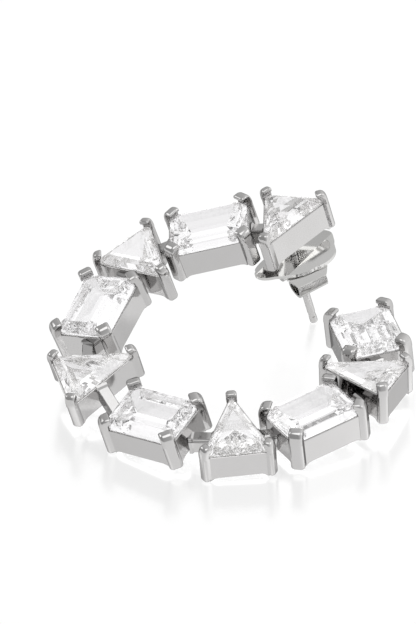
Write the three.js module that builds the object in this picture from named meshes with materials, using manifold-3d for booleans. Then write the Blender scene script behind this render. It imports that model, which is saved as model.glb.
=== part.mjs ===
// A hoop earring: ten claw-set stones, triangular and emerald cut by turns, soldered into an open hoop that
// drops like a turn of a screw. The first setting carries the ear post, and a butterfly clutch sits on the post.
// Millimetres and degrees, +Z up. The earring lies as it rests on a table, with the origin under its middle.

import * as THREE from 'three';
import Module from 'manifold-3d';
import { ConvexGeometry } from 'three/addons/geometries/ConvexGeometry.js';
import { mergeVertices } from 'three/addons/utils/BufferGeometryUtils.js';

const wasm = await Module();
wasm.setup();

const { degToRad } = THREE.MathUtils;

// ---------------------------------------------------------------------------------------------------------
// Driving dimensions
// ---------------------------------------------------------------------------------------------------------

// The line through the settings' middles: an oval with this mean radius, which drops as it goes round.
const hoop = { radius: 13.8, oval: 0.055, dropPerTurn: 11.4, levelTurn: 203 };

// How the finished hoop lies on its lowest claws and the tip of the post: tilted, then moved over the origin.
const rest = { aboutX: 6.41, aboutY: -6.18, x: -0.211, y: 0.359, height: 6.543 };

// One row for each setting, from the ear post round to the free end. turn is its place round the hoop. lean,
// pitch and yaw are how far it is soldered off the hoop's line: outwards, along the line and about its axis.
// lift is how far it stands above the line, if it does.
const settings = [
  { cut: 'triangle', turn: 68, lean: 1, pitch: 2, yaw: 2 },
  { cut: 'emerald', turn: 104, lean: -1, pitch: 2, yaw: -2 },
  { cut: 'triangle', turn: 137, lean: 2, pitch: 1, yaw: 3 },
  { cut: 'emerald', turn: 168, lean: 6, pitch: 1, yaw: -1 },
  { cut: 'triangle', turn: 203, lean: 5, pitch: -1, yaw: -2 },
  { cut: 'emerald', turn: 242, lean: 4, pitch: 10, yaw: -1 },
  { cut: 'triangle', turn: 280, lean: 3, pitch: 2, yaw: 5 },
  { cut: 'emerald', turn: 316, lean: -1, pitch: 2, yaw: 1 },
  { cut: 'triangle', turn: 347, lean: 2.5, pitch: -6, yaw: 2, lift: 0.45 },
  { cut: 'emerald', turn: 380, lean: 5, pitch: 1, yaw: -1 },
];

// Outlines in a setting's own frame: x points out of the hoop, y on to the next setting, z up past the table.
const emerald = { length: 8.5, width: 6.5, cornerCut: 1 };
const triangle = { baseAt: 3.8, apexAt: -4.6, halfBase: 3.65, cornerCut: 0.55 };

// Heights above and below the middle of a setting.
const basket = { foot: -2.25, bottom: -1.85, top: 1, outside: 0.2, inside: -0.5 };
const girdle = { bottom: 1.1, top: 1.3 };
const stoneGap = 0.1;

// The stones in steps, from the keel up: inset from the girdle and height. keel is half the keel line's length.
const steps = {
  emerald: {
    keel: 1.9,
    keelAt: -1.3,
    rows: [{ inset: 1.7, at: -0.4 }, { inset: 0.8, at: 0.5 }],
    crown: [{ inset: 0.6, at: 1.8 }, { inset: 1.15, at: 2.05 }],
  },
  triangle: {
    keel: 0,
    keelAt: -1.2,
    rows: [{ inset: 0.7, at: 0.5 }],
    crown: [{ inset: 1.1, at: 2.05 }],
  },
};

// A claw bar: width across the stone's corner, how far it stands in and out of that corner, and its bent tip.
const claw = {
  widths: { emerald: 1.5, triangle: 1.1 },
  outers: { emerald: 1, triangle: 0.75 },
  inWall: -0.3,
  inner: 0.1,
  hook: -0.4,
  tip: 0.4,
  top: 2.4,
  round: 0.35,
};

// The bars that join two settings. Each row says where a bar leaves one wall and enters the next: how far out and
// how high its middle is.
const link = { width: 1.2, height: 1.9, bite: 0.3 };
const linkEnds = [
  { startOut: 0.1, startHeight: -0.9, endOut: -0.2, endHeight: -0.65 },
  { startOut: 0, startHeight: -0.55, endOut: 0.8, endHeight: -0.55 },
  { startOut: 0.8, startHeight: -0.55, endOut: 0, endHeight: -0.55 },
  { startOut: -0.45, startHeight: -0.5, endOut: 0.45, endHeight: -0.55 },
  { startOut: 0.2, startHeight: 0, endOut: 0.5, endHeight: -0.25 },
  { startOut: 0.2, startHeight: -1.35, endOut: 0.25, endHeight: -0.4 },
  { startOut: 0.5, startHeight: -0.5, endOut: -0.9, endHeight: -0.8 },
  { startOut: 0, startHeight: -1, endOut: 0.8, endHeight: -1 },
  { startOut: 0.8, startHeight: -0.55, endOut: 0, endHeight: -0.55 },
];

// The back bar across the first setting, trimmed from the outline between two lines, and the post soldered to it.
const backBar = { bottom: -1.6, thickness: 0.5, inset: 0.3, from: -0.75, to: 1.35 };
const post = {
  x: 0.3,
  radius: 0.42,
  tip: -12.95,
  roundTip: 0.25,
  notchRadius: 0.385,
  notchAbove: 0.9,
  notchLength: 0.4,
  notchSlope: 0.1,
  sides: 12,
};

// The clutch, from its plate down the post: a lobed plate and two wings that roll up against the post.
const clutch = {
  at: -3.7,
  turn: -38,
  plateLength: 9.8,
  plateWidth: 6.6,
  plateThickness: 0.35,
  lobes: 6,
  lobeDepth: 0.07,
  lobeTurn: 13,
  holeRadius: 0.49,
  wingThickness: 0.3,
  wingRoot: 2.4,
  wingTip: 1.68,
  bend: 0.5,
  scrollAcross: 2,
  scrollDown: -2.8,
  scrollWide: 1.35,
  scrollTall: 0.85,
};

// ---------------------------------------------------------------------------------------------------------
// Joining and cutting
// ---------------------------------------------------------------------------------------------------------

// Makes a manifold solid of a closed three.js geometry.
function solid(geometry) {
  const bare = geometry.clone();
  bare.deleteAttribute('normal');
  bare.deleteAttribute('uv');
  const merged = mergeVertices(bare, 1e-4);
  return new wasm.Manifold(new wasm.Mesh({
    numProp: 3,
    vertProperties: new Float32Array(merged.attributes.position.array),
    triVerts: new Uint32Array(merged.index.array),
  }));
}

// Makes a three.js geometry of a manifold solid.
function geometryOf(body) {
  const mesh = body.getMesh();
  const geometry = new THREE.BufferGeometry();
  geometry.setAttribute('position', new THREE.BufferAttribute(mesh.vertProperties, 3));
  geometry.setIndex(new THREE.BufferAttribute(mesh.triVerts, 1));
  return geometry;
}

function joined(bodies) {
  return bodies.reduce((whole, next) => whole.add(next));
}

// ---------------------------------------------------------------------------------------------------------
// Outlines
// ---------------------------------------------------------------------------------------------------------

// The edges of a stone's outline, each as the way it faces and how far out it lies.
function edgesOf(cut) {
  if (cut === 'emerald') {
    const halfWidth = emerald.width / 2;
    const halfLength = emerald.length / 2;
    const corner = (halfWidth + halfLength - emerald.cornerCut) * Math.SQRT1_2;
    const reaches = [halfWidth, corner, halfLength, corner];
    return [0, 1, 2, 3, 4, 5, 6, 7].map((eighth) => edge(45 * eighth, reaches[eighth % 4]));
  }
  const height = triangle.baseAt - triangle.apexAt;
  const apexHalf = THREE.MathUtils.radToDeg(Math.atan2(triangle.halfBase, height));
  const side = 90 + apexHalf;
  const corner = (90 + apexHalf) / 2;
  const sideReach = -triangle.apexAt * Math.sin(degToRad(apexHalf));
  const cornerX = triangle.baseAt * Math.cos(degToRad(corner));
  const cornerY = triangle.halfBase * Math.sin(degToRad(corner));
  const cornerReach = cornerX + cornerY - triangle.cornerCut;
  return [
    edge(0, triangle.baseAt),
    edge(corner, cornerReach),
    edge(side, sideReach),
    edge(180, -triangle.apexAt - triangle.cornerCut),
    edge(-side, sideReach),
    edge(-corner, cornerReach),
  ];
}

function edge(facing, reach) {
  const angle = degToRad(facing);
  return { facing, reach, x: Math.cos(angle), y: Math.sin(angle) };
}

// The outline's corners with every edge moved out by the offset, found by trimming a large square to each edge.
function outline(cut, offset) {
  const far = 20;
  let corners = [[far, far], [-far, far], [-far, -far], [far, -far]].map(([x, y]) => new THREE.Vector2(x, y));
  for (const { x, y, reach } of edgesOf(cut)) {
    const over = (point) => point.x * x + point.y * y - reach - offset;
    corners = corners.flatMap((point, index) => {
      const next = corners[(index + 1) % corners.length];
      const kept = over(point) <= 0 ? [point] : [];
      if (over(point) * over(next) < 0) {
        kept.push(point.clone().lerp(next, over(point) / (over(point) - over(next))));
      }
      return kept;
    });
  }
  return corners;
}

// A prism of the outline between two heights, with a hole if an inner offset is given.
function prism(cut, offset, holeOffset, bottom, top) {
  const shape = new THREE.Shape(outline(cut, offset));
  if (holeOffset !== null) {
    shape.holes.push(new THREE.Path(outline(cut, holeOffset).reverse()));
  }
  const geometry = new THREE.ExtrudeGeometry(shape, { depth: top - bottom, bevelEnabled: false });
  return geometry.translate(0, 0, bottom);
}

// ---------------------------------------------------------------------------------------------------------
// Stones
// ---------------------------------------------------------------------------------------------------------

// A stone as the hull of its steps, made larger all round by the growth.
function stoneGeometry(cut, growth) {
  const { keel, keelAt, rows, crown } = steps[cut];
  const points = [
    new THREE.Vector3(0, keel, keelAt - growth),
    new THREE.Vector3(0, -keel, keelAt - growth),
  ];
  const levels = [
    ...rows,
    { inset: 0, at: girdle.bottom },
    { inset: 0, at: girdle.top },
    ...crown.map(({ inset, at }) => ({ inset, at: at + growth })),
  ];
  for (const { inset, at } of levels) {
    for (const corner of outline(cut, growth - inset)) {
      points.push(new THREE.Vector3(corner.x, corner.y, at));
    }
  }
  return new ConvexGeometry(points);
}

// ---------------------------------------------------------------------------------------------------------
// Settings
// ---------------------------------------------------------------------------------------------------------

// A claw seen from the side: x is out of the stone's corner, y is up.
function clawProfile(outer) {
  const { inWall, inner, hook, tip, top, round } = claw;
  const profile = new THREE.Shape();
  profile.moveTo(inWall, basket.foot + round);
  profile.quadraticCurveTo(inWall, basket.foot, inWall + round, basket.foot);
  profile.lineTo(outer - round, basket.foot);
  profile.quadraticCurveTo(outer, basket.foot, outer, basket.foot + round);
  profile.lineTo(outer, girdle.bottom);
  profile.quadraticCurveTo(outer, top, inner, top);
  profile.lineTo(hook, top);
  profile.lineTo(hook, top - tip);
  profile.lineTo(inner, top - 2 * tip);
  profile.lineTo(inner, basket.top);
  profile.lineTo(inWall, basket.top);
  return profile;
}

// The claws stand at the outline's cut corners, which are its edges shorter than shortEdge.
function claws(cut) {
  const shortEdge = 2;
  const width = claw.widths[cut];
  const corners = outline(cut, 0);
  const bars = [];
  corners.forEach((start, index) => {
    const end = corners[(index + 1) % corners.length];
    if (start.distanceTo(end) > shortEdge) {
      return;
    }
    const bar = new THREE.ExtrudeGeometry(clawProfile(claw.outers[cut]), {
      depth: width,
      bevelEnabled: false,
      curveSegments: 3,
    });
    bar.translate(0, 0, -width / 2);
    bar.rotateX(Math.PI / 2);
    bar.rotateZ(Math.atan2(start.x - end.x, end.y - start.y));
    bar.translate((start.x + end.x) / 2, (start.y + end.y) / 2, 0);
    bars.push(solid(bar));
  });
  return bars;
}

// A basket of four or three walls with its claws, before the stone's seat is cut.
function settingSolid(cut) {
  const walls = solid(prism(cut, basket.outside, basket.inside, basket.bottom, basket.top));
  return joined([walls, ...claws(cut)]);
}

// ---------------------------------------------------------------------------------------------------------
// The hoop's line
// ---------------------------------------------------------------------------------------------------------

function pointAt(turn) {
  const angle = degToRad(turn);
  const radius = hoop.radius * (1 + hoop.oval * Math.cos(2 * angle));
  const height = (hoop.dropPerTurn * (hoop.levelTurn - turn)) / 360;
  return new THREE.Vector3(radius * Math.cos(angle), radius * Math.sin(angle), height);
}

// The place and bearing of a setting, as a matrix.
function placeOf({ turn, lean, pitch, yaw, lift = 0 }) {
  const step = 0.1;
  const along = pointAt(turn + step).sub(pointAt(turn - step)).normalize();
  const out = new THREE.Vector3().crossVectors(along, new THREE.Vector3(0, 0, 1)).normalize();
  const up = new THREE.Vector3().crossVectors(out, along);
  const bearing = new THREE.Matrix4().makeBasis(out, along, up);
  const offLine = new THREE.Euler(degToRad(pitch), degToRad(lean), degToRad(yaw));
  bearing.multiply(new THREE.Matrix4().makeRotationFromEuler(offLine));
  return bearing.setPosition(pointAt(turn).addScaledVector(up, lift));
}

const places = settings.map(placeOf);

// ---------------------------------------------------------------------------------------------------------
// Links, back bar and post
// ---------------------------------------------------------------------------------------------------------

// Where a link meets a setting's wall, on the side that faces the next (+1) or the last (-1) setting.
function linkEnd(index, side, out, height) {
  const { x, y, reach } = edgesOf(settings[index].cut)[2];
  const wall = (reach + basket.outside - link.bite - x * out) / y;
  return new THREE.Vector3(out, side * wall, height).applyMatrix4(places[index]);
}

// The bar between a setting and the next one.
function linkSolid(index) {
  const { startOut, startHeight, endOut, endHeight } = linkEnds[index];
  const start = linkEnd(index, 1, startOut, startHeight);
  const end = linkEnd(index + 1, -1, endOut, endHeight);
  const length = start.distanceTo(end);
  const bar = new THREE.BoxGeometry(link.width, length, link.height);
  const along = end.clone().sub(start).normalize();
  const out = new THREE.Vector3().crossVectors(along, new THREE.Vector3(0, 0, 1)).normalize();
  const up = new THREE.Vector3().crossVectors(out, along);
  const middle = start.clone().lerp(end, 0.5);
  return solid(bar.applyMatrix4(new THREE.Matrix4().makeBasis(out, along, up).setPosition(middle)));
}

function backBarSolid() {
  const { bottom, thickness, inset, from, to } = backBar;
  const plate = solid(prism('triangle', -inset, null, bottom, bottom + thickness));
  return plate.trimByPlane([1, 0, 0], from).trimByPlane([-1, 0, 0], -to);
}

function postSolid() {
  const { x, radius, tip, roundTip, notchRadius, notchAbove, notchLength, notchSlope, sides } = post;
  const notchBottom = tip + notchAbove;
  const notchTop = notchBottom + notchLength;
  const root = backBar.bottom + backBar.thickness / 2;
  const profile = [
    new THREE.Vector2(0, tip),
    new THREE.Vector2(radius - roundTip, tip),
    new THREE.Vector2(radius, tip + roundTip),
    new THREE.Vector2(radius, notchBottom - notchSlope),
    new THREE.Vector2(notchRadius, notchBottom),
    new THREE.Vector2(notchRadius, notchTop),
    new THREE.Vector2(radius, notchTop + notchSlope),
    new THREE.Vector2(radius, root),
    new THREE.Vector2(0, root),
  ];
  return solid(new THREE.LatheGeometry(profile, sides).rotateX(Math.PI / 2).translate(x, 0, 0));
}

// ---------------------------------------------------------------------------------------------------------
// Clutch, in its own frame: x along the scrolls, z up the post towards the setting
// ---------------------------------------------------------------------------------------------------------

function clutchPlate() {
  const { plateLength, plateWidth, plateThickness, lobes, lobeDepth, lobeTurn } = clutch;
  const count = 60;
  const points = [];
  for (let index = 0; index < count; index += 1) {
    const angle = (2 * Math.PI * index) / count;
    const across = (lobes / 2) * (angle - degToRad(lobeTurn));
    const lobed = 1 - lobeDepth * (1 - Math.abs(Math.cos(across)));
    const x = (plateLength / 2) * lobed * Math.cos(angle);
    const y = (plateWidth / 2) * lobed * Math.sin(angle);
    points.push(new THREE.Vector2(x, y));
  }
  const shape = new THREE.Shape(points);
  const plate = new THREE.ExtrudeGeometry(shape, { depth: plateThickness, bevelEnabled: false });
  return solid(plate.translate(0, 0, -plateThickness));
}

// The middle line of one wing across the scroll: out from under the plate, down, round and up into a scroll.
function wingLine() {
  const { scrollAcross, scrollDown, scrollWide, scrollTall, plateWidth, plateThickness, bend } = clutch;
  const start = new THREE.Vector2(plateWidth / 2 - bend, -plateThickness / 2);
  const outside = new THREE.Vector2(scrollAcross + scrollWide, scrollDown);
  const line = new THREE.CurvePath();
  line.add(new THREE.CubicBezierCurve(
    start,
    new THREE.Vector2(outside.x, start.y),
    new THREE.Vector2(outside.x + bend / 2, scrollDown + 2 * bend),
    outside,
  ));
  line.add(new THREE.EllipseCurve(
    scrollAcross, scrollDown, scrollWide, scrollTall, 0, -1.55 * Math.PI, true,
  ));
  return line;
}

// The wing's strip seen from the front: as wide as the scroll low down and as the wing's root at the plate.
function wingTaper() {
  const { wingRoot, wingTip, scrollDown, scrollTall, wingThickness } = clutch;
  const low = scrollDown - scrollTall - wingThickness;
  const narrowFrom = scrollDown + scrollTall;
  return new THREE.Shape([
    new THREE.Vector2(-wingTip, low),
    new THREE.Vector2(wingTip, low),
    new THREE.Vector2(wingTip, narrowFrom),
    new THREE.Vector2(wingRoot, 0),
    new THREE.Vector2(-wingRoot, 0),
    new THREE.Vector2(-wingTip, narrowFrom),
  ]);
}

// One wing: its middle line thickened to the strip's thickness and trimmed to its taper.
function clutchWing(side) {
  const { wingThickness, wingRoot, plateWidth } = clutch;
  const samples = 26;
  const middle = wingLine().getSpacedPoints(samples);
  const outer = [];
  const inner = [];
  middle.forEach((point, index) => {
    const before = middle[Math.max(index - 1, 0)];
    const after = middle[Math.min(index + 1, samples)];
    const along = after.clone().sub(before).normalize();
    const across = new THREE.Vector2(-along.y, along.x).multiplyScalar(wingThickness / 2);
    outer.push(point.clone().add(across));
    inner.push(point.clone().sub(across));
  });
  const section = new THREE.Shape([...outer, ...inner.reverse()]);
  const strip = new THREE.ExtrudeGeometry(section, { depth: 2 * wingRoot, bevelEnabled: false });
  strip.translate(0, 0, -wingRoot);
  const upright = new THREE.Matrix4().makeBasis(
    new THREE.Vector3(0, 1, 0),
    new THREE.Vector3(0, 0, 1),
    new THREE.Vector3(1, 0, 0),
  );
  const trim = new THREE.ExtrudeGeometry(wingTaper(), { depth: 2 * plateWidth, bevelEnabled: false });
  trim.translate(0, 0, -plateWidth);
  trim.rotateX(Math.PI / 2);
  const wing = solid(strip.applyMatrix4(upright)).intersect(solid(trim));
  return side > 0 ? wing : wing.rotate([0, 0, 180]);
}

function clutchSolid() {
  const { holeRadius, plateThickness } = clutch;
  const hole = new THREE.CylinderGeometry(holeRadius, holeRadius, 4 * plateThickness, post.sides);
  return joined([clutchPlate(), clutchWing(1), clutchWing(-1)]).subtract(solid(hole.rotateX(Math.PI / 2)));
}

// ---------------------------------------------------------------------------------------------------------
// The earring
// ---------------------------------------------------------------------------------------------------------

const metal = new THREE.MeshStandardMaterial({ color: '#c8c8c6', roughness: 0.18, metalness: 1 });
const clear = new THREE.MeshStandardMaterial({ color: '#f3f5f7', roughness: 0.03, metalness: 0 });

function placed(body, matrix) {
  return body.transform(matrix.toArray());
}

// The soldered frame: every setting, link, the back bar and the ear post in one solid, with the seats cut.
function frameGeometry() {
  const parts = settings.map(({ cut }, index) => placed(settingSolid(cut), places[index]));
  for (let index = 0; index < settings.length - 1; index += 1) {
    parts.push(linkSolid(index));
  }
  parts.push(placed(backBarSolid(), places[0]), placed(postSolid(), places[0]));
  const seats = settings.map(({ cut }, index) => placed(solid(stoneGeometry(cut, stoneGap)), places[index]));
  return geometryOf(joined(parts).subtract(joined(seats)));
}

const earring = new THREE.Group();

const frame = new THREE.Mesh(frameGeometry(), metal.clone());
frame.name = 'hoop_frame';
earring.add(frame);

settings.forEach(({ cut }, index) => {
  const stone = new THREE.Mesh(stoneGeometry(cut, 0), clear.clone());
  stone.name = `${cut}_stone_${String(index + 1).padStart(2, '0')}`;
  stone.applyMatrix4(places[index]);
  earring.add(stone);
});

const clutchMesh = new THREE.Mesh(geometryOf(clutchSolid()), metal.clone());
clutchMesh.name = 'butterfly_clutch';
const onPost = new THREE.Matrix4().makeRotationZ(degToRad(clutch.turn)).setPosition(post.x, 0, clutch.at);
clutchMesh.applyMatrix4(places[0].clone().multiply(onPost));
earring.add(clutchMesh);

earring.rotation.set(degToRad(rest.aboutX), degToRad(rest.aboutY), 0);
earring.position.set(rest.x, rest.y, rest.height);

export default earring;
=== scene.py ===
# %% [markdown]
# # A hoop earring of claw-set stones
# The earring is ten little claw baskets soldered end to end: three-clawed triangles and four-clawed
# rectangles by turns. Every basket holds a clear stone, the first one carries the ear post, and a
# butterfly clutch sits on the post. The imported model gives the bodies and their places. The pieces
# made here stand for its plain solids, and ride on the same bodies, so the clutch still slides down
# the post.

from math import atan2, cos, degrees, pi, radians, sin, sqrt

import bmesh
import bpy
from mathutils import Matrix, Vector


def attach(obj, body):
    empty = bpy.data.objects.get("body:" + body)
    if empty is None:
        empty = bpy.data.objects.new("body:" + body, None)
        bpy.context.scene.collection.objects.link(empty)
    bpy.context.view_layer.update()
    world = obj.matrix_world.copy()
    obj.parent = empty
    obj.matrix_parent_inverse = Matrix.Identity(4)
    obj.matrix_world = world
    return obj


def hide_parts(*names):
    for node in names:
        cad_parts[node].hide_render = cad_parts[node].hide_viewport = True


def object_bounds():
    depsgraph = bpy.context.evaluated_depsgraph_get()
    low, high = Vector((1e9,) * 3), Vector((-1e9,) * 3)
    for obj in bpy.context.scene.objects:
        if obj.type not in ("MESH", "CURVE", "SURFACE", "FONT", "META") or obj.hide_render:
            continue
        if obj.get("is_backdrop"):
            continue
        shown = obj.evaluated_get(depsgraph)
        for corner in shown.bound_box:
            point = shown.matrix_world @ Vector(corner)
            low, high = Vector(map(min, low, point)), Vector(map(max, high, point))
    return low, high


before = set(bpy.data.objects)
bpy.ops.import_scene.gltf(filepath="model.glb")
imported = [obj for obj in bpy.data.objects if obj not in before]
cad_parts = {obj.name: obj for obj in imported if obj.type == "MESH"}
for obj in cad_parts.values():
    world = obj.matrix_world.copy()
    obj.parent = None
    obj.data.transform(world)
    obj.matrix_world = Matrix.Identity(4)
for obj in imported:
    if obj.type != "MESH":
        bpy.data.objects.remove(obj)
cad_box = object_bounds()
scene = bpy.context.scene

# %% [markdown]
# ## Camera
# A piece of jewellery this small is taken from far off with a long lens, so that the near stones
# aren't swollen against the far ones. The camera is placed the way a tripod is set: a point to aim
# at, how far round, how high, how far away, and a small roll of the head.

# %% Camera
MM = 0.001
AIM = Vector((-2.96, 4.25, 6.82)) * MM
CAMERA_ROUND, CAMERA_UP, CAMERA_ROLL = radians(10.78), radians(34.72), radians(-3.27)
CAMERA_AWAY = 519.9 * MM
LENS, FILM = 284.1, 36.0
CLIP_NEAR, CLIP_FAR = 0.01, 20

camera = bpy.data.objects.new("camera", bpy.data.cameras.new("camera"))
scene.collection.objects.link(camera)
camera.data.lens = LENS
camera.data.sensor_width = FILM
camera.data.clip_start = CLIP_NEAR
camera.data.clip_end = CLIP_FAR
aimed = Matrix.Rotation(CAMERA_ROUND, 4, "Z") @ Matrix.Rotation(pi / 2 - CAMERA_UP, 4, "X")
camera.matrix_world = Matrix.Translation(AIM) @ aimed @ Matrix.Translation((0, 0, CAMERA_AWAY))
camera.matrix_world = camera.matrix_world @ Matrix.Rotation(CAMERA_ROLL, 4, "Z")
scene.camera = camera
print("camera stands", round(CAMERA_AWAY, 3), "m off at", [round(v, 3) for v in camera.location])

# %% [markdown]
# ## Node helper
# Every finish here is a small graph of shader nodes. One helper makes a node, sets its sockets and
# returns it, so that a finish reads as a short recipe.


# %% Node helper
def add_node(tree, kind, inputs=(), **settings):
    """Makes a shader node, sets its properties, and sets or links the sockets that inputs gives."""
    node = tree.nodes.new(kind)
    for name, value in settings.items():
        setattr(node, name, value)
    for socket, value in dict(inputs).items():
        if isinstance(value, bpy.types.NodeSocket):
            tree.links.new(value, node.inputs[socket])
        else:
            node.inputs[socket].default_value = value
    return node


def add_ramp(tree, factor, stops):
    """A colour ramp of grey stops, each a place and a brightness."""
    ramp = add_node(tree, "ShaderNodeValToRGB", {0: factor})
    elements = ramp.color_ramp.elements
    while len(elements) < len(stops):
        elements.new(0.5)
    for element, (at, grey) in zip(elements, stops):
        element.position = at
        element.color = (grey, grey, grey, 1)
    return ramp.outputs[0]


# %% [markdown]
# ## Floor and light
# Jewellery is shown on a lit white table: a sheet of white acrylic glows from below, so nothing
# throws a hard shadow, and round the piece its polish gives a faint mirror image. A lamp under the
# sheet, off to the right, makes the walls that face it brighter. The room is a tent of soft light,
# brighter to the right, with three soft boxes let into it. Polished metal shows nothing but its
# surroundings, so the shades of the table and the tent are what makes the baskets read as grey, white
# and black faces.
#
# A jeweller takes the metal and the stones in two exposures with the light set for each. The light
# path node does the same in one: it tells a ray that left polished metal from one that has been
# through a stone, and each meets its own brightness of table and tent. The plate is set greyer than
# real plate, so a wall that mirrors another wall would come out nearly black: a ray that goes from
# metal to metal is given more light, to make up for that.

# %% More light in the gaps
LIFT_IN_GAPS = 0.5


def gap_lift(tree, kind_of_ray):
    """How much more light a ray meets, by the number of times that metal has thrown it on."""
    further = add_node(
        tree,
        "ShaderNodeMath",
        {0: kind_of_ray["Glossy Depth"], 1: LIFT_IN_GAPS, 2: 1 - LIFT_IN_GAPS},
        operation="MULTIPLY_ADD",
    )
    lift = add_node(tree, "ShaderNodeMath", {0: further.outputs[0], 1: 1.0}, operation="MAXIMUM")
    return lift.outputs[0]


print("each reflection after the first adds", LIFT_IN_GAPS)

# %% White table
# brightness of the sheet to the eye, and to a ray that has been through a stone
TABLE_GLOW, TABLE_IN_STONE = 1.02, 0.85
# the lamp under it: its place and reach, and the brightness at its middle, at its reach and inside the hoop
LAMP_AT, LAMP_REACH = Vector((20, -2, 0)) * MM, 20 * MM
LAMP_MIDDLE, LAMP_EDGE, LAMP_INSIDE = 1.38, 1.1, 1.15
# how much of a mirror the sheet is inside and outside the ring, and how blurred a mirror
POLISH_INSIDE, POLISH_OUTSIDE, TABLE_BLUR = 0.06, 0.24, 0.2
RING_FROM, RING_TO = 9.5 * MM, 12.5 * MM
TABLE_HALF = 3
WHITE = (1, 1, 1, 1)

bm = bmesh.new()
bmesh.ops.create_grid(bm, x_segments=1, y_segments=1, size=TABLE_HALF)
table_mesh = bpy.data.meshes.new("white_table")
bm.to_mesh(table_mesh)
bm.free()
table = bpy.data.objects.new("white_table", table_mesh)
scene.collection.objects.link(table)
acrylic = bpy.data.materials.new("lit_acrylic")
acrylic.use_nodes = True
sheet = acrylic.node_tree
sheet.nodes.clear()
on_table = add_node(sheet, "ShaderNodeTexCoord").outputs["Object"]
from_lamp = add_node(sheet, "ShaderNodeVectorMath", {0: on_table, 1: LAMP_AT}, operation="DISTANCE")
away = add_node(sheet, "ShaderNodeVectorMath", {0: on_table}, operation="LENGTH")
lamp = add_node(
    sheet,
    "ShaderNodeMapRange",
    {
        "Value": from_lamp.outputs["Value"],
        "From Max": LAMP_REACH,
        "To Min": LAMP_MIDDLE,
        "To Max": LAMP_EDGE,
    },
    interpolation_type="SMOOTHSTEP",
)
outside = add_node(
    sheet,
    "ShaderNodeMapRange",
    {"Value": away.outputs["Value"], "From Min": RING_FROM, "From Max": RING_TO},
    interpolation_type="SMOOTHSTEP",
)
share = add_node(sheet, "ShaderNodeMix", {0: outside.outputs[0], 2: POLISH_INSIDE, 3: POLISH_OUTSIDE})
lamp_here = add_node(sheet, "ShaderNodeMix", {0: outside.outputs[0], 2: LAMP_INSIDE, 3: lamp.outputs[0]})
unpolished = add_node(sheet, "ShaderNodeMath", {0: 1.0, 1: share.outputs[0]}, operation="SUBTRACT")
lamp_level = add_node(
    sheet, "ShaderNodeMath", {0: lamp_here.outputs[0], 1: unpolished.outputs[0]}, operation="DIVIDE"
)
print("the lit sheet is", 2 * TABLE_HALF, "m across")

# %% What each kind of ray sees of the table
kind_of_ray = add_node(sheet, "ShaderNodeLightPath").outputs
lifted = gap_lift(sheet, kind_of_ray)
lamp_seen = add_node(sheet, "ShaderNodeMath", {0: lamp_level.outputs[0], 1: lifted}, operation="MULTIPLY")
in_metal = add_node(
    sheet, "ShaderNodeMix", {0: kind_of_ray["Is Glossy Ray"], 2: TABLE_GLOW, 3: lamp_seen.outputs[0]}
)
glow_level = add_node(
    sheet, "ShaderNodeMix", {0: kind_of_ray["Transmission Depth"], 2: in_metal.outputs[0], 3: TABLE_IN_STONE}
)
glow = add_node(sheet, "ShaderNodeEmission", {"Color": WHITE, "Strength": glow_level.outputs[0]})
polish = add_node(sheet, "ShaderNodeBsdfGlossy", {"Color": WHITE, "Roughness": TABLE_BLUR})
mixed = add_node(
    sheet, "ShaderNodeMixShader", {0: share.outputs[0], 1: glow.outputs[0], 2: polish.outputs[0]}
)
add_node(sheet, "ShaderNodeOutputMaterial", {0: mixed.outputs[0]})
table.data.materials.append(acrylic)
table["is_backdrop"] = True
print("nodes in the table's finish:", len(sheet.nodes))

# %% Tent of light
# the way to the tent's bright side, and grey stops from its dark side to that: for metal, then for stones
TENT_BRIGHT_SIDE = (0.87, 0.50, 0.0)
TENT_ROUND = [(0.0, 0.52), (0.25, 0.6), (0.45, 0.8), (0.635, 1.0), (0.82, 1.3), (1.0, 1.5)]
STONE_ROUND = [(0.0, 1.0), (0.3, 1.05), (0.6, 1.15), (1.0, 1.3)]
# soft boxes let into the tent: how far round and how high in degrees, half their spread, their brightness
SOFT_BOXES = [(270, 80, 18, 2.3), (165, 35, 11, 2.4), (5, 42, 11, 2.4)]
EDGE_OF_BOX = 7
MOST_BOUNCES, METAL_BOUNCES, STONE_BOUNCES = 32, 24, 28


def soft_box(tree, looking, around, up, spread, brightness):
    """The brightness that one soft box adds, seen this way from the table."""
    level = cos(radians(up))
    facing = Vector((level * cos(radians(around)), level * sin(radians(around)), sin(radians(up))))
    turned_to = add_node(tree, "ShaderNodeVectorMath", {0: looking, 1: facing}, operation="DOT_PRODUCT")
    lit = add_node(
        tree,
        "ShaderNodeMapRange",
        {
            "Value": turned_to.outputs["Value"],
            "From Min": cos(radians(spread + EDGE_OF_BOX)),
            "From Max": cos(radians(spread)),
            "To Max": brightness,
        },
        interpolation_type="SMOOTHSTEP",
    )
    return lit.outputs[0]


world = bpy.data.worlds.new("tent")
scene.world = world
world.use_nodes = True
sky = world.node_tree
sky.nodes.clear()
looking = add_node(sky, "ShaderNodeTexCoord").outputs["Generated"]
aside = add_node(sky, "ShaderNodeVectorMath", {0: looking, 1: TENT_BRIGHT_SIDE}, operation="DOT_PRODUCT")
half_turn = add_node(
    sky,
    "ShaderNodeMapRange",
    {"Value": aside.outputs["Value"], "From Min": -1, "From Max": 1, "To Min": 0, "To Max": 1},
)
tent_light = add_ramp(sky, half_turn.outputs[0], TENT_ROUND)
for box in SOFT_BOXES:
    box_light = soft_box(sky, looking, *box)
    brighter = add_node(sky, "ShaderNodeMath", {0: tent_light, 1: box_light}, operation="MAXIMUM")
    tent_light = brighter.outputs[0]
stone_light = add_ramp(sky, half_turn.outputs[0], STONE_ROUND)
kind_of_ray = add_node(sky, "ShaderNodeLightPath").outputs
in_stone = add_node(
    sky,
    "ShaderNodeMath",
    {0: kind_of_ray["Transmission Depth"], 1: kind_of_ray["Is Diffuse Ray"]},
    operation="MAXIMUM",
)
lifted = gap_lift(sky, kind_of_ray)
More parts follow.
